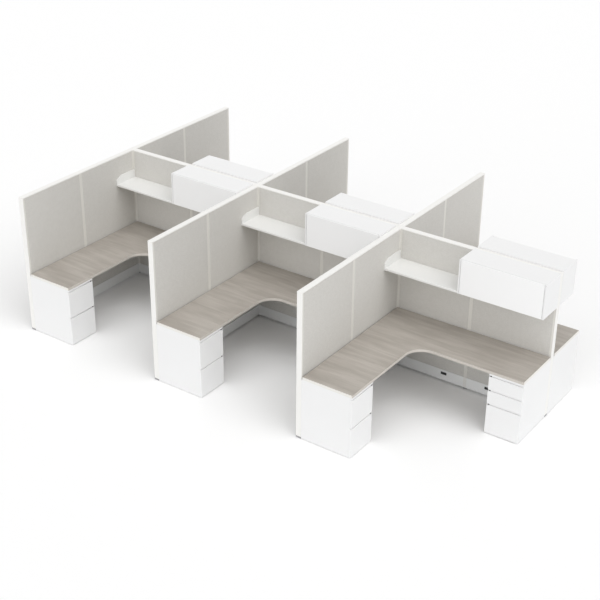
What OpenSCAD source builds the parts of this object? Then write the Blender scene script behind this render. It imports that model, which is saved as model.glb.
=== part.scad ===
/* [Layout] */
// Length of a bay's first spine module, behind the open shelf
shelf_module_w = 886; // [840:2:980]
// Length of a bay's second spine module, behind the cabinet
cabinet_module_w = 942; // [860:2:1000]
// Length of one panel module along a fin
fin_module_w = 903; // [840:1:980]
// Height of the panels with their top caps
panel_h = 1676; // [1650:1:1800]
// Thickness of a panel over its two fabric faces
panel_t = 64; // [58:1:80]
// Height of the worktop's upper face
worktop_h = 737; // [715:1:760]

/* [Panels] */
// Height of the caps along the panel tops
cap_h = 12; // [8:1:20]
// Radius of the caps' upper edges
cap_r = 4; // [2:0.5:6]
// Thickness of the trim on a panel's free end
trim_t = 8; // [6:1:20]
// Radius of the trim's outer edges
trim_r = 5; // [2:0.5:5.5]
// Thickness of a fabric tile
tile_t = 12; // [9:1:16]
// Radius of a tile's front vertical edges
tile_r = 3; // [1:0.5:6]
// Width of a slotted upright at a module's end
upright_w = 20; // [16:1:30]
// Wall of the frame tubes
tube_wall = 2; // [1.5:0.1:3]
// Height of the frame's cross rails
rail_h = 30; // [20:1:40]
// Depth that the reveal strips lie below the fabric face
reveal_inset = 2; // [1:0.5:4]
// Height of the wiring raceway along the base
raceway_h = 126; // [110:1:150]
// Wall of the raceway covers
raceway_wall = 3; // [2:0.5:4]
// Height of the lip along the raceway's lower edge
raceway_lip = 6; // [4:0.5:12]
// Joint between a raceway cover and the tile above it
tile_joint = 3; // [1:0.5:6]
// Height of the panels' underside above the floor
panel_lift = 20; // [14:1:30]
// Radius of a panel's levelling glide
glide_r = 30; // [16:1:31]
// Radius of the glides' stems
glide_stem_r = 6; // [4:0.5:8]
// Depth of the foot under a panel's free end
end_foot_d = 26; // [22:1:40]
// Inset of that foot from the panel's faces
end_foot_inset = 2; // [0:0.5:6]

/* [Worktops] */
// Thickness of the worktop
worktop_t = 30; // [24:1:34]
// Depth of the left wing from the fin's fabric
left_wing_d = 600; // [560:1:640]
// Depth of the right wing from the spine's fabric
right_wing_d = 616; // [570:1:650]
// Radius of the inner curve between the wings
inner_r = 200; // [120:5:280]
// Thickness of the edge bands
band_t = 3; // [2:0.5:4]
// Cord gap between a worktop and the panels
cord_gap = 12; // [2:0.5:14]

/* [Worktop brackets] */
// Length of a bracket's arm from the upright
arm_l = 400; // [300:5:480]
// Height of the arm at the upright
arm_root_h = 140; // [120:5:160]
// Height of the arm at its tip
arm_tip_h = 26; // [20:1:40]
// Thickness of all bracket plates
plate_t = 3; // [2:0.5:4]
// Width of the flange under the worktop
flange_w = 16; // [12:1:18]
// Spacing of the slots and hooks
hook_pitch = 60; // [50:1:64]
// Height of a hook's neck
hook_h = 10; // [8:0.5:12]
// Drop of a hook behind the slotted wall
hook_drop = 6; // [4:0.5:8]
// Clearance of a plate in its slot, on each side
slot_gap = 1; // [0.5:0.1:1.5]

/* [Pedestals] */
// Width of a pedestal
ped_w = 381; // [360:1:420]
// Height of the case above the floor
ped_lift = 5; // [4:1:12]
// Thickness of the case's folded walls
case_t = 12; // [9:0.5:14]
// Height of the rail above the drawers
top_rail_h = 19; // [15:1:24]
// Height of one box drawer with its joint
box_front_h = 165.5; // [150:0.5:170]
// Joint between drawer fronts
front_gap = 3; // [2:0.5:4]
// Thickness of a drawer front
front_t = 20; // [17:1:24]
// Height of the finger channel along a front's top
pull_h = 11; // [8:0.5:14]
// Depth of the finger channel
pull_d = 13; // [9:0.5:14]
// Width of the catch in the finger channel
catch_w = 12; // [10:1:24]
// Thickness of the drawer trays' sheet
tray_t = 4; // [3:0.5:5]
// Clearance behind a closed drawer's tray
tray_clear = 16; // [10:1:24]
// Height of a box drawer's sides
box_side_h = 104; // [80:1:120]
// Height of a file drawer's sides
file_side_h = 236; // [200:1:270]
// Height of a slide member
slide_h = 36; // [28:1:44]
// Thickness of a slide member
slide_t = 6; // [5:0.2:6.4]
// Radius of a pedestal's glide
ped_glide_r = 15; // [10:1:20]

/* [Overheads] */
// Height of the cabinet
cabinet_h = 384; // [360:1:430]
// Height of the cabinet's top above the panels
cabinet_rise = 16; // [0:1:20]
// Depth of the cabinet with its door
cabinet_d = 320; // [290:1:360]
// Depth of the open shelf
shelf_d = 318; // [280:1:350]
// Thickness of the open shelf
shelf_t = 24; // [18:1:30]
// Radius of the shelf's front edges
shelf_r = 4; // [2:0.5:6]
// Height of the shelf's end bracket at its front
upstand_front_h = 80; // [60:1:100]
// Height of the shelf's end bracket at the panel
upstand_back_h = 122; // [110:1:140]
// Thickness of the shelf's end bracket
upstand_t = 12; // [8:1:14]
// Thickness of the cabinet's walls
wall_t = 16; // [14:1:20]
// Thickness of the cabinet's back sheet
back_t = 5; // [3:0.5:8]
// Thickness of the lift-up door
door_t = 18; // [16:1:22]
// Radius of the door's hinge pins
pin_r = 3; // [2:0.5:4]
// Length of a hinge pin's hold in the door and in the wall
pin_hold = 10; // [7:0.5:12]

/* [Receptacles] */
// Width of a power receptacle
receptacle_w = 70; // [60:1:80]
// Height of a power receptacle
receptacle_h = 32; // [26:1:36]
// Height of the receptacles' middle above the raceway's lower edge
receptacle_up = 82; // [30:1:88]
// Distance of the left receptacle from the joint of the bay's spine modules
receptacle_left_x = 262; // [150:1:350]
// Distance of the right receptacle from the joint of the bay's spine modules
receptacle_right_x = 273; // [150:1:350]

/* [Fits] */
// Joint between neighbouring fixed pieces
seam = 0.2; // [0.1:0.05:0.3]
// Clearance between a panel and what stands against it
panel_gap = 0.8; // [0.4:0.1:1]
// Clearance over and under a door, and at the ends of fixed slide members
move_gap = 2; // [1.5:0.5:3]
// Clearance at a door's two ends
door_gap = 4; // [2:0.5:5]
// Clearance between sliding members
slide_gap = 0.4; // [0.3:0.05:0.6]
// Radial clearance of the hinge pins
pin_fit = 0.05; // [0.03:0.01:0.1]

/* [Hidden] */
$fn = 32;
overrun = 1;
bays = 3;

// Panel grid, measured from a fin's middle and from the spine's middle
half_t = panel_t / 2;
frame_t = panel_t - 2 * tile_t;
bay_w = shelf_module_w + cabinet_module_w;
joint_x = half_t + shelf_module_w;
pitch = bay_w + panel_t;
fin_end = half_t + 2 * fin_module_w;
spine_end = half_t + bay_w;
total_x = half_t + (bays - 1) * pitch + spine_end + trim_t;
cap_z = panel_h - cap_h;
tile_z = panel_lift + raceway_h + tile_joint;
tile_h = cap_z - seam - tile_z;
face = half_t + panel_gap;

// Worktop outline
under_z = worktop_h - worktop_t;
left_edge = half_t + left_wing_d;
right_edge = half_t + right_wing_d;
bay_end = spine_end - panel_gap;
wing_end = fin_end + trim_t;

// Pedestals, in a frame with the back at y = 0 and the front towards -y
case_z = ped_lift;
case_h = under_z - ped_lift;
rail_z = under_z - top_rail_h;
split_z = rail_z - 2 * box_front_h;
first_z = case_z + front_gap;
file_ped_d = left_edge - face;
box_ped_d = right_edge - face;
tray_x = case_t + 2 * seam + 2 * slide_t + slide_gap;
tray_back = case_t + tray_clear;
file_front = [first_z, split_z - front_gap - first_z, file_side_h];
file_fronts = [[split_z, rail_z - front_gap - split_z, file_side_h], file_front];
box_fronts = [[split_z + box_front_h, box_front_h - front_gap, box_side_h],
    [split_z, box_front_h - front_gap, box_side_h], file_front];
function slide_z(f) = f[0] + 2 * (case_t + tray_t);
pull_share = 1.3;
catch_share = 1.2;

// Overheads
cabinet_top = panel_h + cabinet_rise;
overhead_z = cabinet_top - cabinet_h;
cabinet_x = joint_x - upright_w / 2 + plate_t / 2 + seam;
door_r = door_t / 2;
pin_y = half_t + cabinet_d - door_r;
pin_z = cabinet_top - move_gap - door_r;
door_h = pin_z + door_r - overhead_z - move_gap;
shelf_x = face + upstand_t + seam;
shelf_end = cabinet_x - plate_t - 2 * seam;
receptacle_z = panel_lift + receptacle_up;
upstand_share = 0.28;

// Parts of a receptacle's height and of a glide's radius and height
receptacle_face_share = 0.4;
glide_shares = [[0.9, 0], [1, 0.2], [1, 0.5], [0.6, 0.8]];
glide_neck_share = 0.8;

// Slotted columns: distances from a fin's middle, and the hooks' heights
corner_col = half_t + upright_w / 2;
shelf_col = joint_x - upright_w / 2;
cabinet_col = joint_x + upright_w / 2;
end_col = spine_end - upright_w / 2;
fin_col = half_t + fin_module_w - upright_w / 2;
slot_w = plate_t + 2 * slot_gap;
neck_reach = tube_wall + pin_fit;
arm_hook_z = under_z - arm_root_h + hook_drop;
shelf_hook_z = overhead_z + hook_h;
cabinet_hook_count = 5;
function hooks(z, count) = [for (k = [0:count - 1]) z + k * hook_pitch];
arm_hooks = hooks(arm_hook_z, 2);
shelf_hooks = hooks(shelf_hook_z, 2);
cabinet_hooks = hooks(shelf_hook_z, cabinet_hook_count);
cabinet_web_h = cabinet_hook_count * hook_pitch;

function fin_x(bay) = half_t - total_x / 2 + bay * pitch;

// Right end of a station's pieces: at the next fin, or flush with the trim in the last bay
function right_end() = $bay == bays - 1 ? spine_end + trim_t : bay_end;
function door_w() = right_end() - cabinet_x - 2 * (wall_t + door_gap);

// Places one station: column along the spine, row 0 in front and 1 behind, mirrored
module station(bay, row) {
    $bay = bay;
    translate([fin_x(bay), 0, 0])
        if (row == 0) children();
        else mirror([0, 1, 0]) children();
}

module stations() {
    for (bay = [0:bays - 1], row = [0, 1]) station(bay, row) children();
}

// Each panel module, with its length $w along x, its middle plane at y = 0 and its place $k
module spine_modules() {
    for (bay = [0:bays - 1], k = [0, 1]) {
        $k = k;
        $w = k == 0 ? shelf_module_w : cabinet_module_w;
        translate([fin_x(bay) + half_t + k * shelf_module_w, 0, 0]) children();
    }
}

module fin_modules() {
    $w = fin_module_w;
    stations()
        for (k = [0, 1]) {
            $k = k;
            translate([0, -half_t - k * $w, 0]) rotate([0, 0, -90]) children();
        }
}

// What stands at a module's two ends: the first child at its start, the second at its far end
module module_ends() {
    children(0);
    translate([$w - upright_w, 0, 0]) children(1);
}

// Both faces of a panel
module both_faces() {
    children();
    mirror([0, 1, 0]) children();
}

// Rectangle with its two corners at the front (-y) rounded
module front_rounded(w, d, r) {
    translate([0, r]) square([w, d - r]);
    translate([r, 0]) square([w - 2 * r, d]);
    for (x = [r, w - r])
        translate([x, r])
            intersection() {
                circle(r);
                translate([-r, -r]) square([2 * r, r]);
            }
}

// Plate in the y-z plane, with its outline's first axis pointing away from the spine (-y)
module plate_out(t) {
    rotate([90, 0, -90]) linear_extrude(t, center = true) children();
}

// Upright of a panel frame: a square tube with a column of slots through both faces
module upright(slots) {
    difference() {
        linear_extrude(cap_z - seam - panel_lift)
            difference() {
                translate([seam, -frame_t / 2]) square([upright_w - 2 * seam, frame_t]);
                translate([tube_wall, tube_wall - frame_t / 2])
                    square([upright_w - 2 * tube_wall, frame_t - 2 * tube_wall]);
            }
        for (z = slots)
            translate([(upright_w - slot_w) / 2, -panel_t / 2, z - seam - panel_lift])
                cube([slot_w, panel_t, hook_h + hook_drop + overrun]);
    }
}

module fin_uprights() {
    color("gainsboro")
        fin_modules() translate([0, 0, panel_lift])
            module_ends() {
                upright([]);
                upright($k == 0 ? arm_hooks : []);
            }
}

module spine_uprights() {
    left = [concat(arm_hooks, shelf_hooks), concat(arm_hooks, cabinet_hooks)];
    right = [shelf_hooks, cabinet_hooks];
    color("gainsboro")
        spine_modules() translate([0, 0, panel_lift])
            module_ends() {
                upright(left[$k]);
                upright(right[$k]);
            }
}

// Tubes across the frame: under the raceway, under the tiles and under the cap
module rails(w) {
    for (z = [panel_lift, tile_z - tile_joint, cap_z - seam - rail_h])
        translate([upright_w + seam, 0, z])
            rotate([90, 0, 90])
                linear_extrude(w - 2 * (upright_w + seam))
                    difference() {
                        translate([-frame_t / 2, 0]) square([frame_t, rail_h]);
                        translate([tube_wall - frame_t / 2, tube_wall])
                            square([frame_t - 2 * tube_wall, rail_h - 2 * tube_wall]);
                    }
}

module panel_rails() {
    color("darkgray") {
        spine_modules() rails($w);
        fin_modules() rails($w);
    }
}

// Sound board that fills the frame behind the tiles
module core(w) {
    z = tile_z - tile_joint + rail_h;
    translate([upright_w + seam, -(frame_t - tube_wall) / 2, z])
        cube([w - 2 * (upright_w + seam), frame_t - tube_wall, cap_z - 2 * seam - rail_h - z]);
}

module panel_cores() {
    color("tan") {
        spine_modules() core($w);
        fin_modules() core($w);
    }
}

// Fabric tile between the uprights of one module
module tile(w) {
    translate([upright_w, -half_t, tile_z])
        linear_extrude(tile_h) front_rounded(w - 2 * upright_w, tile_t, tile_r);
}

module fabric_tiles() {
    color("#c7c4bc") {
        spine_modules() both_faces() tile($w);
        fin_modules() both_faces() tile($w);
    }
}

// Strip over one upright, slit where bracket plates pass to the slots
module strip(slits) {
    difference() {
        translate([seam, reveal_inset - half_t, tile_z])
            cube([upright_w - 2 * seam, tile_t - reveal_inset, tile_h]);
        for (s = slits)
            translate([(upright_w - slot_w) / 2, -panel_t, s[0]])
                cube([slot_w, panel_t, s[1]]);
    }
}

module reveal_strips() {
    arm_slit = [arm_hook_z - hook_drop - overrun, arm_root_h + 2 * overrun];
    shelf_slit = [overhead_z - overrun, upstand_back_h + 2 * overrun];
    cabinet_slit = [overhead_z - overrun, cabinet_web_h + 2 * overrun];
    left = [[arm_slit, shelf_slit], [arm_slit, cabinet_slit]];
    right = [[shelf_slit], [cabinet_slit]];
    color("#e6e3dc") {
        spine_modules() both_faces()
            module_ends() {
                strip(left[$k]);
                strip(right[$k]);
            }
        fin_modules() both_faces()
            module_ends() {
                strip([]);
                strip($k == 0 ? [arm_slit] : []);
            }
    }
}

// Cap with rounded upper edges, along x from 0
module cap(l) {
    rotate([90, 0, 90])
        linear_extrude(l)
            translate([-half_t, cap_h]) mirror([0, 1, 0]) front_rounded(panel_t, cap_h, cap_r);
}

module top_caps() {
    fin_l = fin_end + trim_t - half_t - seam;
    color("#f3f2ee")
        translate([0, 0, cap_z]) {
            for (bay = [0:bays - 1]) {
                extra = bay == bays - 1 ? trim_t - seam : -2 * seam;
                translate([fin_x(bay) + half_t + seam, 0, 0]) cap(bay_w + extra);
                translate([fin_x(bay) - half_t, 0, 0]) cap(panel_t);
            }
            stations() translate([0, -half_t - seam, 0]) rotate([0, 0, -90]) cap(fin_l);
        }
}

// The fins' front ends and the spine's end, each turned so that it faces -y
module free_ends() {
    stations() translate([0, -fin_end, 0]) children();
    translate([fin_x(bays - 1) + spine_end, 0, 0]) rotate([0, 0, 90]) children();
}

// Trim on a free panel end
module end_trim() {
    translate([-half_t, -trim_t, panel_lift])
        linear_extrude(cap_z - seam - panel_lift) front_rounded(panel_t, trim_t, trim_r);
}

module end_trims() {
    color("#f3f2ee") free_ends() end_trim();
}

// Square post where the fins meet the spine
module junction_posts() {
    side = panel_t - 2 * seam;
    inner = side - 2 * tube_wall;
    post_h = cap_z - seam - panel_lift;
    color("gainsboro")
        for (bay = [0:bays - 1])
            translate([fin_x(bay), 0, panel_lift])
                difference() {
                    translate([-side / 2, -side / 2, 0]) cube([side, side, post_h]);
                    translate([-inner / 2, -inner / 2, tube_wall]) cube([inner, inner, post_h]);
                }
}

// Raceway cover: a channel whose flanges reach back to the frame, open at a receptacle
module raceway_cover(w, opening_x) {
    depth = tile_t - reveal_inset;
    difference() {
        translate([seam, reveal_inset - half_t, panel_lift])
            rotate([90, 0, 90])
                linear_extrude(w - 2 * seam) {
                    square([raceway_wall, raceway_h]);
                    square([depth, raceway_wall]);
                    translate([0, raceway_h - raceway_wall]) square([depth, raceway_wall]);
                    translate([-reveal_inset, 0]) square([reveal_inset + raceway_wall, raceway_lip]);
                }
        for (x = opening_x)
            translate([x - receptacle_w / 2, -panel_t, receptacle_z - receptacle_h / 2])
                cube([receptacle_w, panel_t, receptacle_h]);
    }
}

module raceway_covers() {
    openings = [shelf_module_w - receptacle_left_x, receptacle_right_x];
    color("#b4b6b5") {
        spine_modules() both_faces() raceway_cover($w, [openings[$k]]);
        fin_modules() both_faces() raceway_cover($w, []);
    }
}

// Duplex receptacle: a housing in the cover's opening with two raised faces
module receptacle() {
    w = receptacle_w - 2 * seam;
    h = receptacle_h - 2 * seam;
    depth = tile_t - reveal_inset;
    translate([-w / 2, reveal_inset - half_t, -h / 2]) cube([w, depth, h]);
    for (x = [-w / 4, w / 4])
        translate([x, reveal_inset - half_t, 0])
            rotate([90, 0, 0]) linear_extrude(overrun) circle(receptacle_face_share * h);
}

module receptacles() {
    color("#2b2b2c")
        stations()
            for (x = [joint_x - receptacle_left_x, joint_x + receptacle_right_x])
                translate([x, 0, receptacle_z]) receptacle();
}

// Levelling glide: a turned foot of height h with its stem on top
module glide(r, h) {
    rotate_extrude($fn = 20)
        polygon(concat(
            [for (s = glide_shares) [s[0] * r, s[1] * h]],
            [[glide_stem_r, glide_neck_share * h], [glide_stem_r, h], [0, h], [0, 0]]));
}

// Moulded foot under a free panel end, flush with the trim
module end_foot() {
    translate([end_foot_inset - half_t, -trim_t, 0])
        linear_extrude(panel_lift)
            front_rounded(panel_t - 2 * end_foot_inset, end_foot_d, trim_r);
}

module panel_glides() {
    color("#3a3a3c") {
        for (bay = [0:bays - 1], x = [0, joint_x])
            translate([fin_x(bay) + x, 0, 0]) glide(glide_r, panel_lift);
        stations() translate([0, -half_t - fin_module_w, 0]) glide(glide_r, panel_lift);
        free_ends() end_foot();
    }
}

// Outline of the worktop in the station's plan, inset from its user edge and from its two ends
module worktop_outline(user, ends) {
    x1 = left_edge - user;
    y1 = right_edge - user;
    r = inner_r + user;
    back = half_t + cord_gap;
    translate([back, ends - wing_end]) square([x1 - back, wing_end - ends - back]);
    translate([back, -y1]) square([right_end() - ends - back, y1 - back]);
    translate([x1, -y1 - r])
        difference() {
            square(r);
            translate([r, 0]) circle(r, $fn = 96);
        }
}

module worktops() {
    color("#a59c93")
        stations()
            translate([0, 0, under_z]) linear_extrude(worktop_t) worktop_outline(band_t, band_t);
}

// Band along the wings' user edge and the curve between them
module user_edge_bands() {
    color("#c5bfb8")
        stations()
            translate([0, 0, under_z])
                linear_extrude(worktop_t)
                    difference() {
                        worktop_outline(0, 0);
                        worktop_outline(band_t - seam, -overrun);
                    }
}

// Bands on the left wing's front end and on the right wing's outer end
module end_edge_bands() {
    back = half_t + cord_gap;
    color("#f2f1ed")
        stations()
            translate([0, 0, under_z]) {
                translate([back, -wing_end, 0])
                    cube([left_edge - band_t - back, band_t, worktop_t]);
                translate([right_end() - band_t, band_t - right_edge, 0])
                    cube([band_t, right_edge - band_t - back, worktop_t]);
            }
}

// Hook that drops behind an upright's slotted wall; its neck's underside is at z
module hook(z) {
    translate([0, z])
        polygon([[slide_gap, 0], [slide_gap, hook_h], [-neck_reach - plate_t, hook_h],
            [-neck_reach - plate_t, -hook_drop], [-neck_reach, -hook_drop], [-neck_reach, 0]]);
}

// Tapered arm under the worktop with its hooks and flange
module worktop_bracket() {
    top = under_z - seam;
    plate_out(plate_t) {
        polygon([[slide_gap, under_z - arm_root_h], [2 * tile_t, under_z - arm_root_h],
            [arm_l, top - arm_tip_h], [arm_l, top], [slide_gap, top]]);
        for (z = arm_hooks) hook(z);
    }
    translate([-flange_w / 2, -arm_l, top - plate_t])
        cube([flange_w, arm_l - tile_t - 2 * panel_gap, plate_t]);
}

module worktop_brackets() {
    color("silver")
        stations() {
            for (x = [corner_col, cabinet_col])
                translate([x, -frame_t / 2, 0]) worktop_bracket();
            translate([frame_t / 2, -fin_col, 0]) rotate([0, 0, 90]) worktop_bracket();
        }
}

// Pedestal case of depth d: folded walls, with a rail above the drawers
module pedestal_case(d) {
    body_d = d - front_t - seam;
    inner_w = ped_w - 2 * (case_t + seam);
    translate([0, 0, case_z]) {
        for (x = [0, ped_w - case_t])
            translate([x, -body_d, 0]) cube([case_t, body_d, case_h]);
        translate([case_t + seam, -body_d, 0]) cube([inner_w, body_d, case_t]);
        translate([case_t + seam, -body_d, case_h - case_t]) cube([inner_w, body_d, case_t]);
        translate([case_t + seam, -case_t, case_t + seam])
            cube([inner_w, case_t, case_h - 2 * (case_t + seam)]);
    }
    translate([0, -d, rail_z]) cube([ped_w, front_t, top_rail_h]);
}

module file_pedestal() {
    translate([face, -wing_end, 0]) rotate([0, 0, 90]) children();
}

module box_pedestal() {
    translate([right_end() - ped_w, -face, 0]) children();
}

module file_pedestal_cases() {
    color("#f0f0f0") stations() file_pedestal() pedestal_case(file_ped_d);
}

module box_pedestal_cases() {
    color("#f0f0f0") stations() box_pedestal() pedestal_case(box_ped_d);
}

module case_glides(d) {
    inset = 2 * ped_glide_r;
    for (x = [inset, ped_w - inset], y = [inset, d - front_t - inset])
        translate([x, -y, 0]) glide(ped_glide_r, ped_lift);
}

module pedestal_glides() {
    color("#3a3a3c")
        stations() {
            file_pedestal() case_glides(file_ped_d);
            box_pedestal() case_glides(box_ped_d);
        }
}

// Slide members fixed to the case's walls, one pair at each height
module case_slides(d, heights) {
    l = d - front_t - case_t - 2 * move_gap;
    for (z = heights, x = [case_t + seam, ped_w - case_t - seam - slide_t])
        translate([x, -l - case_t - move_gap, z]) cube([slide_t, l, slide_h]);
}

module drawer_slides() {
    color("silver")
        stations() {
            file_pedestal() case_slides(file_ped_d, [for (f = file_fronts) slide_z(f)]);
            box_pedestal() case_slides(box_ped_d, [for (f = box_fronts) slide_z(f)]);
        }
}

// Drawer of one front [z, height, side height] in a pedestal of depth d
// Its front has a finger channel along the top, with a catch at the end catch_side
module drawer(d, f, catch_side) {
    tray_w = ped_w - 2 * tray_x;
    tray_d = d - front_t - tray_back - seam;
    bottom = f[0] + 2 * case_t;
    lip = front_t - pull_d;
    catch_x = catch_side < 0 ? case_t : ped_w - case_t - catch_w;
    translate([0, -d, f[0]]) {
        rotate([90, 0, 90])
            linear_extrude(ped_w)
                polygon([[0, 0], [front_t, 0], [front_t, f[1]], [pull_d, f[1]],
                    [pull_d, f[1] - pull_h], [lip, f[1] - pull_share * pull_h], [0, f[1] - pull_h]]);
        translate([catch_x, lip / 2, f[1] - catch_share * pull_h])
            cube([catch_w, front_t - lip, pull_h]);
    }
    translate([tray_x, -d + front_t + seam, bottom]) {
        cube([tray_w, tray_d, tray_t]);
        for (x = [0, tray_w - tray_t])
            translate([x, 0, tray_t + seam]) cube([tray_t, tray_d, f[2]]);
        translate([tray_t + seam, tray_d - tray_t, tray_t + seam])
            cube([tray_w - 2 * (tray_t + seam), tray_t, f[2]]);
        for (x = [-seam - slide_t, tray_w + seam])
            translate([x, 0, slide_z(f) - bottom]) cube([slide_t, tray_d, slide_h]);
    }
}

// Overhead cabinet's case
module overhead_case() {
    body_d = half_t + cabinet_d - face;
    inner_d = body_d - door_t - move_gap / 2;
    inner_x = cabinet_x + wall_t + seam;
    end = right_end();
    inner_w = end - cabinet_x - 2 * (wall_t + seam);
    for (side = [0, 1])
        difference() {
            translate([side == 0 ? cabinet_x : end - wall_t, -face - body_d, overhead_z])
                cube([wall_t, body_d, cabinet_h]);
            translate([side == 0 ? cabinet_x + wall_t - pin_hold : end - wall_t - overrun,
                    -pin_y, pin_z])
                rotate([0, 90, 0]) cylinder(h = pin_hold + overrun, r = pin_r + pin_fit);
        }
    for (z = [overhead_z, cabinet_top - wall_t])
        translate([inner_x, -face - inner_d, z]) cube([inner_w, inner_d, wall_t]);
    translate([inner_x, -face - back_t, overhead_z + wall_t + seam])
        cube([inner_w, back_t, cabinet_h - 2 * (wall_t + seam)]);
}

module overhead_cases() {
    color("#f0f0f0") stations() overhead_case();
}

// Lift-up door: rounded behind its pins so that its top turns clear of the case
module overhead_door() {
    x = cabinet_x + wall_t + door_gap;
    difference() {
        translate([x, -pin_y, pin_z])
            rotate([90, 0, 90])
                linear_extrude(door_w()) {
                    circle(door_r);
                    translate([-door_r, 0]) square(door_r);
                    translate([-door_r, door_r - door_h]) square([door_t, door_h - door_r]);
                }
        for (end = [x - overrun, x + door_w() - pin_hold])
            translate([end, -pin_y, pin_z])
                rotate([0, 90, 0]) cylinder(h = pin_hold + overrun, r = pin_r + pin_fit);
    }
}

module door_hinge_pins() {
    l = 2 * pin_hold + door_gap - 2 * seam;
    color("silver")
        stations()
            for (x = [cabinet_x + wall_t - pin_hold + seam,
                    right_end() - wall_t + pin_hold - seam - l])
                translate([x, -pin_y, pin_z]) rotate([0, 90, 0]) cylinder(h = l, r = pin_r);
}

module open_shelves() {
    color("#f0f0ee")
        stations()
            translate([shelf_x, 0, overhead_z])
                rotate([90, 0, 90])
                    linear_extrude(shelf_end - shelf_x)
                        translate([-half_t - shelf_d, 0])
                            rotate(-90) translate([-shelf_t, 0])
                                front_rounded(shelf_t, half_t + shelf_d - face, shelf_r);
}

// Outline of the shelf's end bracket: distance from the upright's face, height
module upstand_outline(front_h, back_h) {
    out = tile_t + shelf_d;
    shoulder = out - upstand_share * shelf_d;
    translate([0, overhead_z])
        polygon([[tile_t + panel_gap, 0], [out, 0], [out, front_h],
            [shoulder, back_h], [tile_t + panel_gap, back_h]]);
}

// Hooks and the web that carries them through the reveal strip, out to reach
module hook_web(reach, web_h, hook_zs) {
    translate([slide_gap, overhead_z]) square([reach - slide_gap, web_h]);
    for (z = hook_zs) hook(z);
}

module overhead_brackets() {
    web_h = 2 * hook_pitch;
    reach = tile_t + panel_gap;
    color("#f0f0ee")
        stations()
            translate([0, -frame_t / 2, 0]) {
                translate([face + upstand_t / 2, 0, 0])
                    plate_out(upstand_t) upstand_outline(upstand_front_h, upstand_back_h);
                translate([corner_col, 0, 0])
                    plate_out(plate_t) hook_web(reach + overrun, web_h, shelf_hooks);
                translate([shelf_col, 0, 0])
                    plate_out(plate_t) {
                        upstand_outline(shelf_t, web_h);
                        hook_web(reach + overrun, web_h, shelf_hooks);
                    }
                for (x = [cabinet_col, end_col])
                    translate([x, 0, 0])
                        plate_out(plate_t) hook_web(reach - seam, cabinet_web_h, cabinet_hooks);
            }
}

// Moving pieces of one station, given by its bay, its row and the drawer's place from the top
module file_drawer(bay, row, place) {
    color("#f2f2f2") station(bay, row) file_pedestal() drawer(file_ped_d, file_fronts[place], 1);
}

module box_drawer(bay, row, place) {
    color("#f2f2f2") station(bay, row) box_pedestal() drawer(box_ped_d, box_fronts[place], -1);
}

module lift_door(bay, row) {
    color("#f2f2f2") station(bay, row) overhead_door();
}

fin_uprights();
spine_uprights();
panel_rails();
panel_cores();
fabric_tiles();
reveal_strips();
top_caps();
end_trims();
junction_posts();
raceway_covers();
receptacles();
panel_glides();
worktops();
user_edge_bands();
end_edge_bands();
worktop_brackets();
file_pedestal_cases();
box_pedestal_cases();
pedestal_glides();
drawer_slides();
overhead_cases();
open_shelves();
overhead_brackets();
door_hinge_pins();
file_drawer(0, 0, 0);  // front_a_file_drawer_upper
file_drawer(0, 0, 1);  // front_a_file_drawer_lower
box_drawer(0, 0, 0);  // front_a_box_drawer_top
box_drawer(0, 0, 1);  // front_a_box_drawer_middle
box_drawer(0, 0, 2);  // front_a_file_drawer_bottom
lift_door(0, 0);  // front_a_overhead_door
file_drawer(1, 0, 0);  // front_b_file_drawer_upper
file_drawer(1, 0, 1);  // front_b_file_drawer_lower
box_drawer(1, 0, 0);  // front_b_box_drawer_top
box_drawer(1, 0, 1);  // front_b_box_drawer_middle
box_drawer(1, 0, 2);  // front_b_file_drawer_bottom
lift_door(1, 0);  // front_b_overhead_door
file_drawer(2, 0, 0);  // front_c_file_drawer_upper
file_drawer(2, 0, 1);  // front_c_file_drawer_lower
box_drawer(2, 0, 0);  // front_c_box_drawer_top
box_drawer(2, 0, 1);  // front_c_box_drawer_middle
box_drawer(2, 0, 2);  // front_c_file_drawer_bottom
lift_door(2, 0);  // front_c_overhead_door
file_drawer(0, 1, 0);  // back_a_file_drawer_upper
file_drawer(0, 1, 1);  // back_a_file_drawer_lower
box_drawer(0, 1, 0);  // back_a_box_drawer_top
box_drawer(0, 1, 1);  // back_a_box_drawer_middle
box_drawer(0, 1, 2);  // back_a_file_drawer_bottom
lift_door(0, 1);  // back_a_overhead_door
file_drawer(1, 1, 0);  // back_b_file_drawer_upper
file_drawer(1, 1, 1);  // back_b_file_drawer_lower
box_drawer(1, 1, 0);  // back_b_box_drawer_top
box_drawer(1, 1, 1);  // back_b_box_drawer_middle
box_drawer(1, 1, 2);  // back_b_file_drawer_bottom
lift_door(1, 1);  // back_b_overhead_door
file_drawer(2, 1, 0);  // back_c_file_drawer_upper
file_drawer(2, 1, 1);  // back_c_file_drawer_lower
box_drawer(2, 1, 0);  // back_c_box_drawer_top
box_drawer(2, 1, 1);  // back_c_box_drawer_middle
box_drawer(2, 1, 2);  // back_c_file_drawer_bottom
lift_door(2, 1);  // back_c_overhead_door
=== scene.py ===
import math

import bmesh
import bpy
from mathutils import Matrix, Vector


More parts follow.
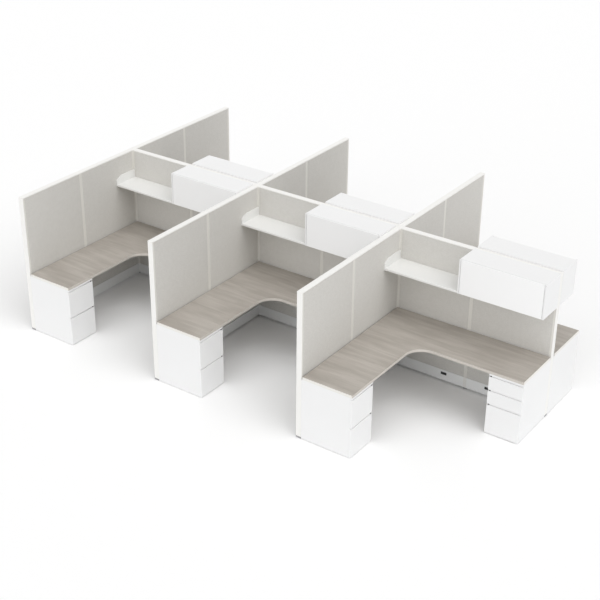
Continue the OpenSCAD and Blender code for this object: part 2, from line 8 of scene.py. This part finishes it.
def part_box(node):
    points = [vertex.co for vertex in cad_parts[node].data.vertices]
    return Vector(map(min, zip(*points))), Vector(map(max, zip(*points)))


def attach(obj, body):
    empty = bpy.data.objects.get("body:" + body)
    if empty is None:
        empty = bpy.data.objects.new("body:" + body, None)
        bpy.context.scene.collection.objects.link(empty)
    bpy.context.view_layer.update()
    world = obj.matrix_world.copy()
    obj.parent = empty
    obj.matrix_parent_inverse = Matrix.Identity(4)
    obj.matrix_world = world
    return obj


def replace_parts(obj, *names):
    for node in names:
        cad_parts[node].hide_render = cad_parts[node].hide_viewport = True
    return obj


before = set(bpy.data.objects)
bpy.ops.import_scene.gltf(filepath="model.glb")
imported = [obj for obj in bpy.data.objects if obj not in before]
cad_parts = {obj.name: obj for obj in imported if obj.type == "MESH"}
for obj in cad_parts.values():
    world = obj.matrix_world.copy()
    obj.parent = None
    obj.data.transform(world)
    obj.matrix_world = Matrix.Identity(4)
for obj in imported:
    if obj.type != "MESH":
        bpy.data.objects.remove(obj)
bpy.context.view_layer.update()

# Panel frames: slotted uprights and cross rails, welded from square steel tube.
# They have a satin grey powder coat with a fine orange peel and a little dust low down.


def colour(red, green, blue):
    """A colour read on the 0 to 255 scale, as a shader takes it."""
    return tuple(
        c / 255 / 12.92 if c <= 10 else ((c / 255 + 0.055) / 1.055) ** 2.4
        for c in (red, green, blue)
    ) + (1.0,)


class Wire:
    """One output of a board's node. Sums written with it add Math nodes."""

    def __init__(self, board, socket):
        self.board = board
        self.socket = socket

    def sum_with(self, operation, first, second):
        return self.board.node("ShaderNodeMath", {"operation": operation}, {0: first, 1: second})

    def __add__(self, other):
        return self.sum_with("ADD", self, other)

    def __radd__(self, other):
        return self.sum_with("ADD", other, self)

    def __sub__(self, other):
        return self.sum_with("SUBTRACT", self, other)

    def __rsub__(self, other):
        return self.sum_with("SUBTRACT", other, self)

    def __mul__(self, other):
        return self.sum_with("MULTIPLY", self, other)

    def __rmul__(self, other):
        return self.sum_with("MULTIPLY", other, self)


class Board:
    """The nodes of a finish or of the studio's sky."""

    def __init__(self, tree):
        self.tree = tree

    def node(self, kind, settings, sockets, out=0):
        made = self.tree.nodes.new(kind)
        for name, value in settings.items():
            setattr(made, name, value)
        for name, value in sockets.items():
            if isinstance(value, Wire):
                self.tree.links.new(value.socket, made.inputs[name])
            else:
                made.inputs[name].default_value = value
        return Wire(self, made.outputs[out])

    def seen_directly(self):
        """1 for a ray from the camera or off a gloss or glass surface, 0 for light on the object."""
        camera, glossy, clear = (
            self.node("ShaderNodeLightPath", {}, {}, ray)
            for ray in ("Is Camera Ray", "Is Glossy Ray", "Is Transmission Ray")
        )
        return camera + glossy + clear


class Finish(Board):
    """A surface finish. What is the same all over is set on its shader, what varies is fed to it."""

    def __init__(self, name, **constants):
        self.material = bpy.data.materials.new(name)
        self.material.use_nodes = True
        super().__init__(self.material.node_tree)
        self.shader = self.tree.nodes["Principled BSDF"]
        for name, value in constants.items():
            self.shader.inputs[name.replace("_", " ")].default_value = value
        self.place = self.node("ShaderNodeTexCoord", {}, {}, "Object")

    def axis(self, letter):
        return self.node("ShaderNodeSeparateXYZ", {}, {0: self.place}, "XYZ".index(letter))

    def stretched(self, x, y, z):
        return self.node(
            "ShaderNodeVectorMath", {"operation": "MULTIPLY"}, {0: self.place, 1: (x, y, z)}
        )

    def speckle(self, per_metre, detail=2.0, where=None):
        sockets = {"Vector": where or self.place, "Scale": per_metre, "Detail": detail}
        return self.node("ShaderNodeTexNoise", {}, sockets)

    def fade(self, wire, start, end):
        """0 where wire is at start, 1 at end, with soft shoulders."""
        soft = {"interpolation_type": "SMOOTHSTEP"}
        return self.node("ShaderNodeMapRange", soft, {0: wire, 1: start, 2: end})

    def between(self, share, first, second):
        return self.node("ShaderNodeMix", {"data_type": "RGBA"}, {0: share, 6: first, 7: second}, 2)

    def relief(self, height, depth):
        return self.node("ShaderNodeBump", {}, {"Height": height, "Distance": depth, "Strength": 1.0})

    def feed(self, **wires):
        for name, wire in wires.items():
            self.tree.links.new(wire.socket, self.shader.inputs[name.replace("_", " ")])


def powder_coat(name, clean, soiled, roughness, scuff_top):
    """Baked powder paint: orange peel, faint clouds, and scuffs that thin out up to scuff_top."""
    coat = Finish(name, Specular_IOR_Level=0.42)
    clouds = coat.speckle(2.6, 3)
    scuffs = coat.fade(coat.speckle(70, 6), 0.56, 0.74)
    low = 1 - coat.fade(coat.axis("Z"), 0.0, scuff_top)
    marks = scuffs * (low * 0.3 + 0.04)
    coat.feed(
        Base_Color=coat.between(marks + clouds * 0.08, clean, soiled),
        Roughness=roughness - 0.05 + clouds * 0.1 + marks * 0.2,
        Normal=coat.relief(coat.speckle(420, 1), 0.00006),
    )
    return coat.material


def dress(node, material):
    """Gives a CAD node that stays its finish."""
    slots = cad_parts[node].material_slots
    if len(slots) == 0:
        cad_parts[node].data.materials.append(material)
    for held in slots:
        held.material = material


frame_coat = powder_coat("frame_coat", colour(172, 173, 172), colour(116, 114, 110), 0.45, 0.3)
for node in ("fin_uprights", "spine_uprights", "panel_rails"):
    dress(node, frame_coat)

# Sound boards: compressed mineral and wood fibre, cut to fill the frames behind the tiles.
# The board is matt, flecked and slightly pitted, and only its edges show.
core_board = Finish("core_board", Specular_IOR_Level=0.2)
flecks = core_board.speckle(260, 4)
pits = core_board.fade(core_board.speckle(700, 2), 0.35, 0.6)
core_board.feed(
    Base_Color=core_board.between(flecks, colour(150, 132, 104), colour(206, 190, 160)),
    Roughness=0.8 + flecks * 0.15,
    Normal=core_board.relief(pits, 0.0004),
)
dress("panel_cores", core_board.material)

# Fabric tiles: greige panel cloth, stretched and glued over a hard acoustic board, one for each
# face of a module. The plain weave has warp and weft of slightly different wool-white and
# oatmeal yarns, and the cloth rolls softly over the board's edges.
CLOTH_ROLL = 0.0045
CLOTH_STEPS = 4
YARN_PITCH = 0.0017
TOUCH = 1e-5


def merged_copy(node):
    """A bmesh of a CAD node whose loose triangles are joined."""
    work = bmesh.new()
    work.from_mesh(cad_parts[node].data)
    bmesh.ops.remove_doubles(work, verts=work.verts, dist=TOUCH)
    return work


def solids_in(work):
    """The vertices of each separate solid of a bmesh."""
    left = set(work.verts)
    for start in work.verts:
        if start not in left:
            continue
        left.remove(start)
        solid = [start]
        for vert in solid:
            for edge in vert.link_edges:
                other = edge.other_vert(vert)
                if other in left:
                    left.remove(other)
                    solid.append(other)
        yield solid


def extent(verts):
    """Lowest and highest corner of some vertices."""
    return [Vector([pick(v.co[i] for v in verts) for i in range(3)]) for pick in (min, max)]


def parts_of(node):
    """(lowest corner, highest corner) of each separate solid of a CAD node."""
    work = merged_copy(node)
    boxes = [extent(solid) for solid in solids_in(work)]
    work.free()
    return sorted(boxes, key=lambda box: tuple(round(c, 4) for c in box[0]))


def piece(name, work, body, slot, *materials, smooth=None):
    """Makes a bmesh a piece that rides on a body, with its finishes."""
    mesh = bpy.data.meshes.new(name)
    work.to_mesh(mesh)
    work.free()
    if smooth is not None:
        mesh.shade_smooth()
        mesh.set_sharp_from_angle(angle=math.radians(smooth))
    for material in materials:
        mesh.materials.append(material)
    made = bpy.data.objects.new(name, mesh)
    bpy.context.collection.objects.link(made)
    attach(made, body)
    return made


def box_between(work, low, high):
    """Adds a box to a bmesh and returns its vertices."""
    place = Matrix.LocRotScale((low + high) / 2, None, high - low)
    return bmesh.ops.create_cube(work, size=1, matrix=place)["verts"]


def edges_of(verts):
    """The edges at some vertices, each once."""
    return list(dict.fromkeys(e for v in verts for e in v.link_edges))


def ease(work, edges, radius, segments=2, clamp=False):
    """Rounds some edges of a bmesh."""
    bmesh.ops.bevel(
        work, geom=edges, offset=radius, affect="EDGES", segments=segments, profile=0.5, material=-1,
        clamp_overlap=clamp,
    )


def ease_rim(work, corners, thin, face_at, radius, segments=2):
    """Rounds the edges round one face of a box, the face that lies at face_at on the thin axis."""
    rim = [e for e in edges_of(corners) if all(abs(v.co[thin] - face_at) < TOUCH for v in e.verts)]
    ease(work, rim, radius, segments)


def outer_face(low, high, thin):
    """Where a panel's facing has its outer face on the thin axis, and which way that looks."""
    middle = (low + high) / 2
    home = min(fin_middles, key=lambda x: abs(x - middle.x)) if thin == 0 else 0.0
    return (high[thin], 1) if middle[thin] > home else (low[thin], -1)


fin_middles = sorted({round((low.x + high.x) / 2, 4) for low, high in parts_of("junction_posts")})

cloth = Finish("panel_cloth", Specular_IOR_Level=0.15, Sheen_Weight=0.12, Sheen_Roughness=0.45)
across = cloth.axis("X") + cloth.axis("Y")
rise = cloth.axis("Z")
turn = 2 * math.pi / YARN_PITCH
warp = cloth.node("ShaderNodeMath", {"operation": "SINE"}, {0: across * turn})
weft = cloth.node("ShaderNodeMath", {"operation": "SINE"}, {0: rise * turn})
crossing = warp * weft * 0.5 + 0.5
threads = cloth.node("ShaderNodeCombineXYZ", {}, {0: across * 0.12, 1: rise, 2: 0.0})
picks = cloth.node("ShaderNodeCombineXYZ", {}, {0: across, 1: rise * 0.12, 2: 0.0})
slubs = cloth.speckle(620, 2, threads) * 0.5 + cloth.speckle(620, 2, picks) * 0.5
melange = cloth.fade(slubs, 0.36, 0.66)
shading = cloth.speckle(1.7, 3)
mottle = cloth.fade(cloth.speckle(24, 4), 0.38, 0.66)
yarns = cloth.between(melange * 0.8 + crossing * 0.2, colour(202, 200, 195), colour(229, 227, 223))
cloth.feed(
    Base_Color=cloth.between(shading * 0.16 + mottle * 0.1, yarns, colour(190, 187, 180)),
    Roughness=0.86 + melange * 0.1,
    Normal=cloth.relief(crossing * 0.7 + slubs * 0.5, 0.00035),
)

covers = bmesh.new()
for low, high in parts_of("fabric_tiles"):
    thin = 0 if high.x - low.x < high.y - low.y else 1
    face_at = outer_face(low, high, thin)[0]
    ease_rim(covers, box_between(covers, low, high), thin, face_at, CLOTH_ROLL, CLOTH_STEPS)
fabric_covers = piece("fabric_covers", covers, "cluster", "tile_fabric", cloth.material)
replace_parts(fabric_covers, "fabric_tiles")

# Reveal strips, junction posts, caps and trims: extruded aluminium in warm white paint, clipped over
# the uprights, along the panel tops and on the free ends. The caps' and end trims' outer edges are
# rounded, and the caps collect a little dust.
EDGE_EASE = 0.0012
FLAT_WITHIN = math.radians(0.5)
SHARP_OVER = math.radians(40)


def flat_copy(node):
    """A merged copy of a CAD node, without the edges that only cross its flat faces."""
    work = merged_copy(node)
    bmesh.ops.dissolve_limit(work, angle_limit=FLAT_WITHIN, verts=work.verts, edges=work.edges)
    return work


def eased(node, name, radius, slot, material, body="cluster"):
    """Stands for a CAD node with a copy whose sharp edges are rounded."""
    work = flat_copy(node)
    sharp = [e for e in work.edges if e.is_manifold and e.calc_face_angle() > SHARP_OVER]
    ease(work, sharp, radius, clamp=True)
    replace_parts(piece(name, work, body, slot, material), node)


trim_paint = powder_coat("trim_paint", colour(245, 244, 241), colour(216, 213, 206), 0.4, 0.25)
strip_paint = powder_coat("strip_paint", colour(229, 227, 221), colour(200, 196, 188), 0.45, 0.25)
dress("reveal_strips", strip_paint)
dress("junction_posts", trim_paint)
eased("top_caps", "cap_rails", EDGE_EASE, "trim_paint", trim_paint)
eased("end_trims", "end_posts", EDGE_EASE, "trim_paint", trim_paint)

# Raceway covers: grey-white moulded ABS channels along the panels' base, snapped to the frame under
# the tiles, with a fine spark-eroded texture and shoe scuffs near the lip.
raceway_plastic = Finish("raceway_plastic", Specular_IOR_Level=0.4)
stipple = raceway_plastic.speckle(900, 3)
low_down = 1 - raceway_plastic.fade(raceway_plastic.axis("Z"), 0.02, 0.11)
shoe_marks = low_down * raceway_plastic.fade(
    raceway_plastic.speckle(30, 6, raceway_plastic.stretched(1, 1, 2.5)), 0.55, 0.72
)
soil = shoe_marks * 0.3 + raceway_plastic.speckle(3, 2) * 0.12
raceway_plastic.feed(
    Base_Color=raceway_plastic.between(soil, colour(244, 245, 245), colour(192, 193, 192)),
    Roughness=0.46 + stipple * 0.16 + shoe_marks * 0.12,
    Normal=raceway_plastic.relief(stipple, 0.00012),
)
dress("raceway_covers", raceway_plastic.material)

# Joint clips: where two raceway covers meet in line, a short strip of painted aluminium snaps over
# the joint and carries the reveal strip's line down to the lip. Its outer edges are rolled.
RACEWAY_LIP = 0.006
CLIP_RISE = 0.0012
CLIP_EASE = 0.0006
CLIP_CLEARANCE = 0.0006
STRIP_JOINT = 0.001
SAME_PLANE = 1e-4

clip_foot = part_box("raceway_covers")[0][2] + RACEWAY_LIP + CLIP_CLEARANCE
strips = parts_of("reveal_strips")
neighbours = [
    (first, second, thin) for first in strips for second in strips for thin in (1, 0)
    if all(abs(a[thin] - b[thin]) < SAME_PLANE for a, b in zip(first, second))
    and abs(second[0][1 - thin] - first[1][1 - thin]) < STRIP_JOINT
]
clips = bmesh.new()
for (low, high), (next_low, next_high), thin in neighbours:
    strip_at, outward = outer_face(low, next_high, thin)
    face_at = strip_at + outward * CLIP_RISE
    clip_low, clip_high = low.copy(), next_high.copy()
    clip_low[thin], clip_high[thin] = sorted((strip_at, face_at))
    clip_low.z, clip_high.z = clip_foot, low.z - CLIP_CLEARANCE
    ease_rim(clips, box_between(clips, clip_low, clip_high), thin, face_at, CLIP_EASE)
clip_paint = powder_coat("clip_paint", colour(236, 235, 232), colour(206, 204, 200), 0.42, 0.2)
piece("raceway_joint_clips", clips, "cluster", "trim_paint", clip_paint)

# Receptacles: black duplex outlets moulded in thermoplastic, clipped in the raceway's openings.
# Each has a rimmed housing, two raised faces and real slots for the blades and the ground pin.
HOUSING_DEPTH = 0.01
HOUSING_EASE = 0.0012
OUTLET_FACE = 0.026
OUTLET_RISE = 0.001
OUTLET_CELLS = 13
SKIRT_DEPTH = 0.004
SLOT_DEPTH = 0.0035

black_plastic = Finish("black_plastic", Specular_IOR_Level=0.45)
grain = black_plastic.speckle(1400, 2)
handling = black_plastic.fade(black_plastic.speckle(60, 4), 0.5, 0.75)
black_plastic.feed(
    Base_Color=black_plastic.between(handling * 0.5, colour(36, 36, 38), colour(70, 70, 70)),
    Roughness=0.4 + grain * 0.15 + handling * 0.1,
    Normal=black_plastic.relief(grain, 0.0001),
)


def pushed(work, made, depth):
    """Moves the vertices that an extrusion made inwards by depth."""
    verts = [g for g in made["geom"] if isinstance(g, bmesh.types.BMVert)]
    bmesh.ops.translate(work, verts=verts, vec=(0, depth, 0))


def outlet_face(work, side):
    """Adds one raised face at x side, looking towards -y, with two blade slots and a ground hole."""
    made = bmesh.ops.create_grid(
        work, x_segments=OUTLET_CELLS, y_segments=OUTLET_CELLS, size=OUTLET_FACE / 2,
        matrix=Matrix.Translation((side, -OUTLET_RISE, 0)) @ Matrix.Rotation(math.pi / 2, 4, "X"),
    )
    cells = {f for v in made["verts"] for f in v.link_faces}
    step = OUTLET_FACE / OUTLET_CELLS

    def cell(face):
        middle = face.calc_center_median()
        return round((middle.x - side) / step), round(middle.z / step)

    blades = [f for f in cells if abs(cell(f)[0]) == 3 and 0 <= cell(f)[1] <= 4]
    ground = [f for f in cells if abs(cell(f)[0]) <= 1 and -5 <= cell(f)[1] <= -3]
    for holes in (blades, ground):
        pushed(work, bmesh.ops.extrude_face_region(work, geom=holes), SLOT_DEPTH)
        bmesh.ops.delete(work, geom=holes, context="FACES")
    rim = [e for e in work.edges if e.is_boundary]
    pushed(work, bmesh.ops.extrude_edge_only(work, edges=rim), OUTLET_RISE + SKIRT_DEPTH)
    bmesh.ops.holes_fill(work, edges=[e for e in work.edges if e.is_boundary])


outlets = bmesh.new()
for low, high in parts_of("receptacles"):
    outlet = bmesh.new()
    half = (high - low) / 2
    housing = box_between(
        outlet, Vector((-half.x, 0, -half.z)), Vector((half.x, HOUSING_DEPTH, half.z))
    )
    ease(outlet, edges_of(housing), HOUSING_EASE)
    for side in (-half.x / 2, half.x / 2):
        outlet_face(outlet, side)
    bmesh.ops.recalc_face_normals(outlet, faces=outlet.faces)
    middle = (low + high) / 2
    if low.y < 0:
        wall, facing = low.y + OUTLET_RISE, 0
    else:
        wall, facing = high.y - OUTLET_RISE, math.pi
    place = Matrix.Translation((middle.x, wall, middle.z)) @ Matrix.Rotation(facing, 4, "Z")
    bmesh.ops.transform(outlet, matrix=place, verts=outlet.verts)
    held = bpy.data.meshes.new("outlet")
    outlet.to_mesh(held)
    outlets.from_mesh(held)
    outlet.free()
    bpy.data.meshes.remove(held)
duplex_outlets = piece(
    "duplex_outlets", outlets, "cluster", "receptacle_plastic", black_plastic.material
)
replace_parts(duplex_outlets, "receptacles")

# Glides and end feet: grey nylon. A turned glide stands under each junction and module joint, and a
# smaller one at each corner of a pedestal. A moulded block, eased all round, ends each free panel.
BLOCK_EASE = 0.0015
ROUND_WITHIN = 0.001
FOOT_STEPS = 24
FOOT_SMOOTH = 32
FOOT_OUTLINE = (
    (0, 0), (0.84, 0), (0.95, 0.05), (1, 0.18), (1, 0.45), (0.94, 0.55), (0.5, 0.72), (0.45, 0.76),
    (0.45, 0.99), (0, 0.99),
)


def turned_foot(work, middle, radius, height):
    """Adds a turned foot that stands at middle, on the floor."""
    verts = [
        work.verts.new((middle.x + out * radius, middle.y, up * height)) for out, up in FOOT_OUTLINE
    ]
    edges = [work.edges.new(pair) for pair in zip(verts, verts[1:])]
    bmesh.ops.spin(
        work, geom=verts + edges, cent=(middle.x, middle.y, 0), axis=(0, 0, 1), angle=2 * math.pi,
        steps=FOOT_STEPS, use_merge=True,
    )


foot_nylon = Finish("foot_nylon", Specular_IOR_Level=0.4)
gritty = foot_nylon.speckle(500, 4)
worn = foot_nylon.fade(gritty, 0.5, 0.7) * 0.5
foot_nylon.feed(
    Base_Color=foot_nylon.between(worn, colour(158, 158, 160), colour(184, 182, 178)),
    Roughness=0.5 + gritty * 0.25,
    Normal=foot_nylon.relief(gritty, 0.0002),
)
for node, name in (("panel_glides", "panel_feet"), ("pedestal_glides", "pedestal_feet")):
    feet = bmesh.new()
    for low, high in parts_of(node):
        wide, deep = high.x - low.x, high.y - low.y
        if abs(wide - deep) < ROUND_WITHIN:
            turned_foot(feet, (low + high) / 2, wide / 2, high.z)
        else:
            ease(feet, edges_of(box_between(feet, low, high)), BLOCK_EASE)
    bmesh.ops.remove_doubles(feet, verts=feet.verts, dist=TOUCH / 10)
    bmesh.ops.recalc_face_normals(feet, faces=feet.faces)
    made = piece(name, feet, "cluster", "glide_plastic", foot_nylon.material, smooth=FOOT_SMOOTH)
    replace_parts(made, node)

# Worktops: 30 mm particle board with a grey-brown ash laminate, one L-shaped sheet a station, set on
# its brackets and pedestals. The print runs along the spine with fine pores and drifting streaks.
laminate = Finish("ash_laminate", Specular_IOR_Level=0.4)
clouds = laminate.speckle(2.6, 4, laminate.stretched(0.7, 1.6, 1.6))
streaks = laminate.speckle(5, 5, laminate.stretched(0.4, 4, 4)) * 0.5 + clouds * 0.5
fine_lines = laminate.speckle(46, 4, laminate.stretched(0.09, 6, 6))
lines = laminate.fade(fine_lines, 0.36, 0.64)
pores = laminate.fade(laminate.speckle(170, 2, laminate.stretched(0.12, 5, 5)), 0.56, 0.7)
hands = laminate.speckle(5, 4)
tone = laminate.fade(streaks, 0.34, 0.66)
ash = laminate.between(tone, colour(168, 161, 153), colour(190, 184, 176))
ash = laminate.between(lines * 0.34, ash, colour(155, 148, 140))
laminate.feed(
    Base_Color=laminate.between(pores * 0.18, ash, colour(146, 138, 129)),
    Roughness=0.4 + hands * 0.12 + pores * 0.1,
    Normal=laminate.relief(pores * -0.6 + laminate.speckle(800, 1) * 0.4, 0.00006),
)
dress("worktops", laminate.material)

# Edge bands: extruded PVC, hot-glued round the worktops. The user edge is a greige band with eased
# corners, and the two ends have an off-white one.
USER_BAND_EASE = 0.0012
END_BAND_EASE = 0.0008

band_plastic = Finish("band_plastic", Specular_IOR_Level=0.4)
ribs = band_plastic.speckle(300, 2, band_plastic.stretched(0.1, 0.1, 4))
rubbed = band_plastic.fade(band_plastic.speckle(24, 4), 0.5, 0.75)
polish = rubbed * 0.4 + ribs * 0.15
band_plastic.feed(
    Base_Color=band_plastic.between(polish, colour(203, 197, 189), colour(220, 215, 208)),
    Roughness=0.36 + rubbed * 0.1 + ribs * 0.08,
    Normal=band_plastic.relief(ribs, 0.00005),
)
eased("user_edge_bands", "user_bands", USER_BAND_EASE, "user_edge_plastic", band_plastic.material)
end_plastic = Finish("end_plastic", Specular_IOR_Level=0.4)
faint = end_plastic.speckle(40, 4)
end_plastic.feed(
    Base_Color=end_plastic.between(faint * 0.4, colour(240, 238, 233), colour(224, 220, 213)),
    Roughness=0.34 + faint * 0.14,
    Normal=end_plastic.relief(end_plastic.speckle(500, 2), 0.00005),
)
eased("end_edge_bands", "end_bands", END_BAND_EASE, "end_edge_plastic", end_plastic.material)

# Worktop brackets: tapered arms pressed from 3 mm steel with a flange on top, hooked in the slotted
# uprights and screwed to the worktop's underside from below. Zinc plated, with its faint spangle.
SCREW_HEAD = 0.0026
SCREW_FLATTENED = 0.55
SCREW_DROP = 0.003
SCREW_OFFSET = 0.0048
SCREW_SHARES = (0.3, 0.62, 0.92)
SCREW_SMOOTH = 40


def zinc(name, tint, per_metre):
    """Plated steel with a mottled spangle and fine rolling lines."""
    plate = Finish(name, Metallic=1.0)
    cells = {"Vector": plate.place, "Scale": per_metre}
    spangle = plate.node("ShaderNodeTexVoronoi", {}, cells, "Color")
    patches = plate.node("ShaderNodeSeparateXYZ", {}, {0: spangle})
    rolling = plate.speckle(240, 3, plate.stretched(0.1, 0.1, 6))
    plate.feed(
        Base_Color=plate.between(patches * 0.35 + rolling * 0.2, tint, colour(150, 152, 155)),
        Roughness=0.34 + patches * 0.12 + rolling * 0.1,
        Normal=plate.relief(rolling, 0.00003),
    )
    return plate.material


bracket_zinc = zinc("bracket_zinc", colour(196, 198, 200), 90)
dress("worktop_brackets", bracket_zinc)
screws = bmesh.new()
for low, high in parts_of("worktop_brackets"):
    along = 0 if high.x - low.x > high.y - low.y else 1
    start, end = sorted((low[along], high[along]), key=abs)
    for share in SCREW_SHARES:
        for side in (-1, 1):
            spot = (low + high) / 2
            spot[along] = start + share * (end - start)
            spot[1 - along] += side * SCREW_OFFSET
            spot.z = high.z - SCREW_DROP
            flattened = Matrix.Diagonal((1, 1, SCREW_FLATTENED, 1))
            bmesh.ops.create_uvsphere(
                screws, u_segments=10, v_segments=6, radius=SCREW_HEAD,
                matrix=Matrix.Translation(spot) @ flattened,
            )
piece("bracket_screws", screws, "cluster", "bracket_steel", bracket_zinc, smooth=SCREW_SMOOTH)

# Pedestal cases: folded sheet-steel boxes with a rail over the drawers, spot welded, and painted
# with white powder. Shoes have scuffed them a little near the floor.
case_paint = powder_coat("case_paint", colour(242, 242, 242), colour(214, 212, 208), 0.38, 0.22)
for node in ("file_pedestal_cases", "box_pedestal_cases"):
    eased(node, node.replace("cases", "shells"), EDGE_EASE, "case_paint", case_paint)

# Drawers: each has a folded front with a finger channel along its top and a black catch at one end
# of it, a tray of painted sheet steel, and zinc slide members that run in those of the case.
FRONT_EASE = 0.0015
FRONT_FOLD = 0.7
TRAY_SHEET_MOST = 0.0052
SLIDE_MEMBER_MOST = 0.008
FRONT, TRAY, SLIDE, CATCH = range(4)
CATCH_DEEP = (0.0028, 0.0172)
CATCH_BESIDE = (0.0105, 0.0255)
CATCH_DOWN = (0.0015, 0.0125)

front_paint = powder_coat("front_paint", colour(243, 243, 243), colour(216, 214, 210), 0.36, 0.2)
tray_paint = powder_coat("tray_paint", colour(188, 190, 191), colour(150, 150, 149), 0.45, 0.1)
slide_zinc = zinc("slide_zinc", colour(206, 208, 210), 140)
dress("drawer_slides", slide_zinc)


def within(value, span):
    return span[0] < value < span[1]


def drawer(node):
    """Stands for a drawer with a copy that has eased front edges and a finish for each sheet."""
    work = flat_copy(node)
    for sheet in solids_in(work):
        low, high = extent(sheet)
        thinnest = min(high - low)
        finish = TRAY if thinnest < TRAY_SHEET_MOST else SLIDE if thinnest < SLIDE_MEMBER_MOST else FRONT
        for vert in sheet:
            for face in vert.link_faces:
                face.material_index = finish
        if finish == FRONT:
            front_low, front_high = low, high
            folds = [e for e in edges_of(sheet) if e.calc_face_angle() > FRONT_FOLD]
    ease(work, folds, FRONT_EASE, clamp=True)
    opens = 0 if front_high.x - front_low.x < front_high.y - front_low.y else 1
    across = 1 - opens
    back_row = "back" in node
    opens_low = opens == 1 and not back_row
    outside = front_low[opens] if opens_low else front_high[opens]
    inward = 1 if opens_low else -1
    catch_high = opens == 0 and not back_row
    catch_end = front_high[across] if catch_high else front_low[across]
    along = -1 if catch_high else 1
    for face in work.faces:
        spot = face.calc_center_median()
        deep = (spot[opens] - outside) * inward
        beside = (spot[across] - catch_end) * along
        down = front_high.z - spot.z
        if within(deep, CATCH_DEEP) and within(beside, CATCH_BESIDE) and within(down, CATCH_DOWN):
            face.material_index = CATCH
    finishes = (front_paint, tray_paint, slide_zinc, black_plastic.material)
    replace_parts(piece(node + "_body", work, node, "front_paint", *finishes), node)


for node in sorted(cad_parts):
    if "_drawer_" in node:
        drawer(node)

# Overheads: an open shelf and a flipper-door cabinet in each station, of folded steel in white
# powder, hung on the spine's uprights with hooked plates. The door turns on steel pins.
PLATE_EASE = 0.0008
DOOR_EASE = 0.0014

shelf_paint = powder_coat("shelf_paint", colour(236, 236, 234), colour(212, 210, 206), 0.4, 0.1)
eased("overhead_cases", "cabinet_shells", EDGE_EASE, "case_paint", case_paint)
eased("open_shelves", "shelf_boards", EDGE_EASE, "case_paint", shelf_paint)
eased("overhead_brackets", "shelf_ends", PLATE_EASE, "case_paint", shelf_paint)
dress("door_hinge_pins", slide_zinc)
# The doors' white is painted lighter than the cases' white. This is painted light that lifts the cabinet
# fronts where the neighbouring fins shade them.
door_paint_with_painted_light = powder_coat("door_paint_with_painted_light", colour(251, 251, 251), colour(226, 224, 220), 0.36, 0.1)
for node in sorted(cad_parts):
    if node.endswith("overhead_door"):
        eased(node, node + "_leaf", DOOR_EASE, "front_paint", door_paint_with_painted_light, body=node)

# Studio: a plain white floor that runs past the view, an even white sky, and three large soft lamps,
# in front, high on the right and overhead, so that every face shows and no shadow has an edge.
FLOOR_HALF = 60
LAMP_SPREAD = 50

floor_paper = Finish("floor_paper", Specular_IOR_Level=0.0, Roughness=1.0)
floor_paper.feed(
    Base_Color=floor_paper.between(floor_paper.seen_directly(), (0.97, 0.975, 0.98, 1), (1, 1, 1, 1))
)
paper = bmesh.new()
bmesh.ops.create_grid(paper, x_segments=1, y_segments=1, size=FLOOR_HALF)
sheet = bpy.data.meshes.new("studio_floor")
paper.to_mesh(sheet)
paper.free()
sheet.materials.append(floor_paper.material)
floor = bpy.data.objects.new("studio_floor", sheet)
bpy.context.collection.objects.link(floor)

scene = bpy.context.scene
scene.view_settings.view_transform = "Standard"
sky = bpy.data.worlds.new("studio_sky")
scene.world = sky
sky.use_nodes = True
board = Board(sky.node_tree)
backdrop = sky.node_tree.nodes["Background"]
backdrop.inputs["Color"].default_value = (1, 1, 1, 1)
strength = 0.5 + board.seen_directly() * 0.5
sky.node_tree.links.new(strength.socket, backdrop.inputs["Strength"])


def soft_sun(name, strength, towards):
    """A lamp far away in a direction, wide enough for soft shadows."""
    lamp = bpy.data.lights.new(name, "SUN")
    lamp.energy = strength
    lamp.angle = math.radians(LAMP_SPREAD)
    held = bpy.data.objects.new(name, lamp)
    held.rotation_mode = "QUATERNION"
    held.rotation_quaternion = Vector(towards).to_track_quat("Z", "Y")
    bpy.context.collection.objects.link(held)


soft_sun("front_lamp", 0.6, (0.0, -0.906, 0.423))
soft_sun("side_lamp", 1.16, (0.614, -0.188, 0.766))
soft_sun("top_lamp", 0.42, (0.0, 0.0, 1.0))

# Camera: stands high in front and to the right, as the photograph was taken, with a long lens.
STAND = (7.10901, -10.59610, 7.32033)
AZIMUTH, ELEVATION, ROLL, LENS = -35.00721, 28.20158, 0.55127, 75.9417
camera = bpy.data.cameras.new("camera")
camera.lens = LENS
camera.sensor_width = 36
camera.clip_end = 300
viewer = bpy.data.objects.new("camera", camera)
bpy.context.collection.objects.link(viewer)
viewer.matrix_world = (
    Matrix.Translation(STAND)
    @ Matrix.Rotation(math.radians(-AZIMUTH), 4, "Z")
    @ Matrix.Rotation(math.radians(90 - ELEVATION), 4, "X")
    @ Matrix.Rotation(math.radians(ROLL), 4, "Z")
)
scene.camera = viewer
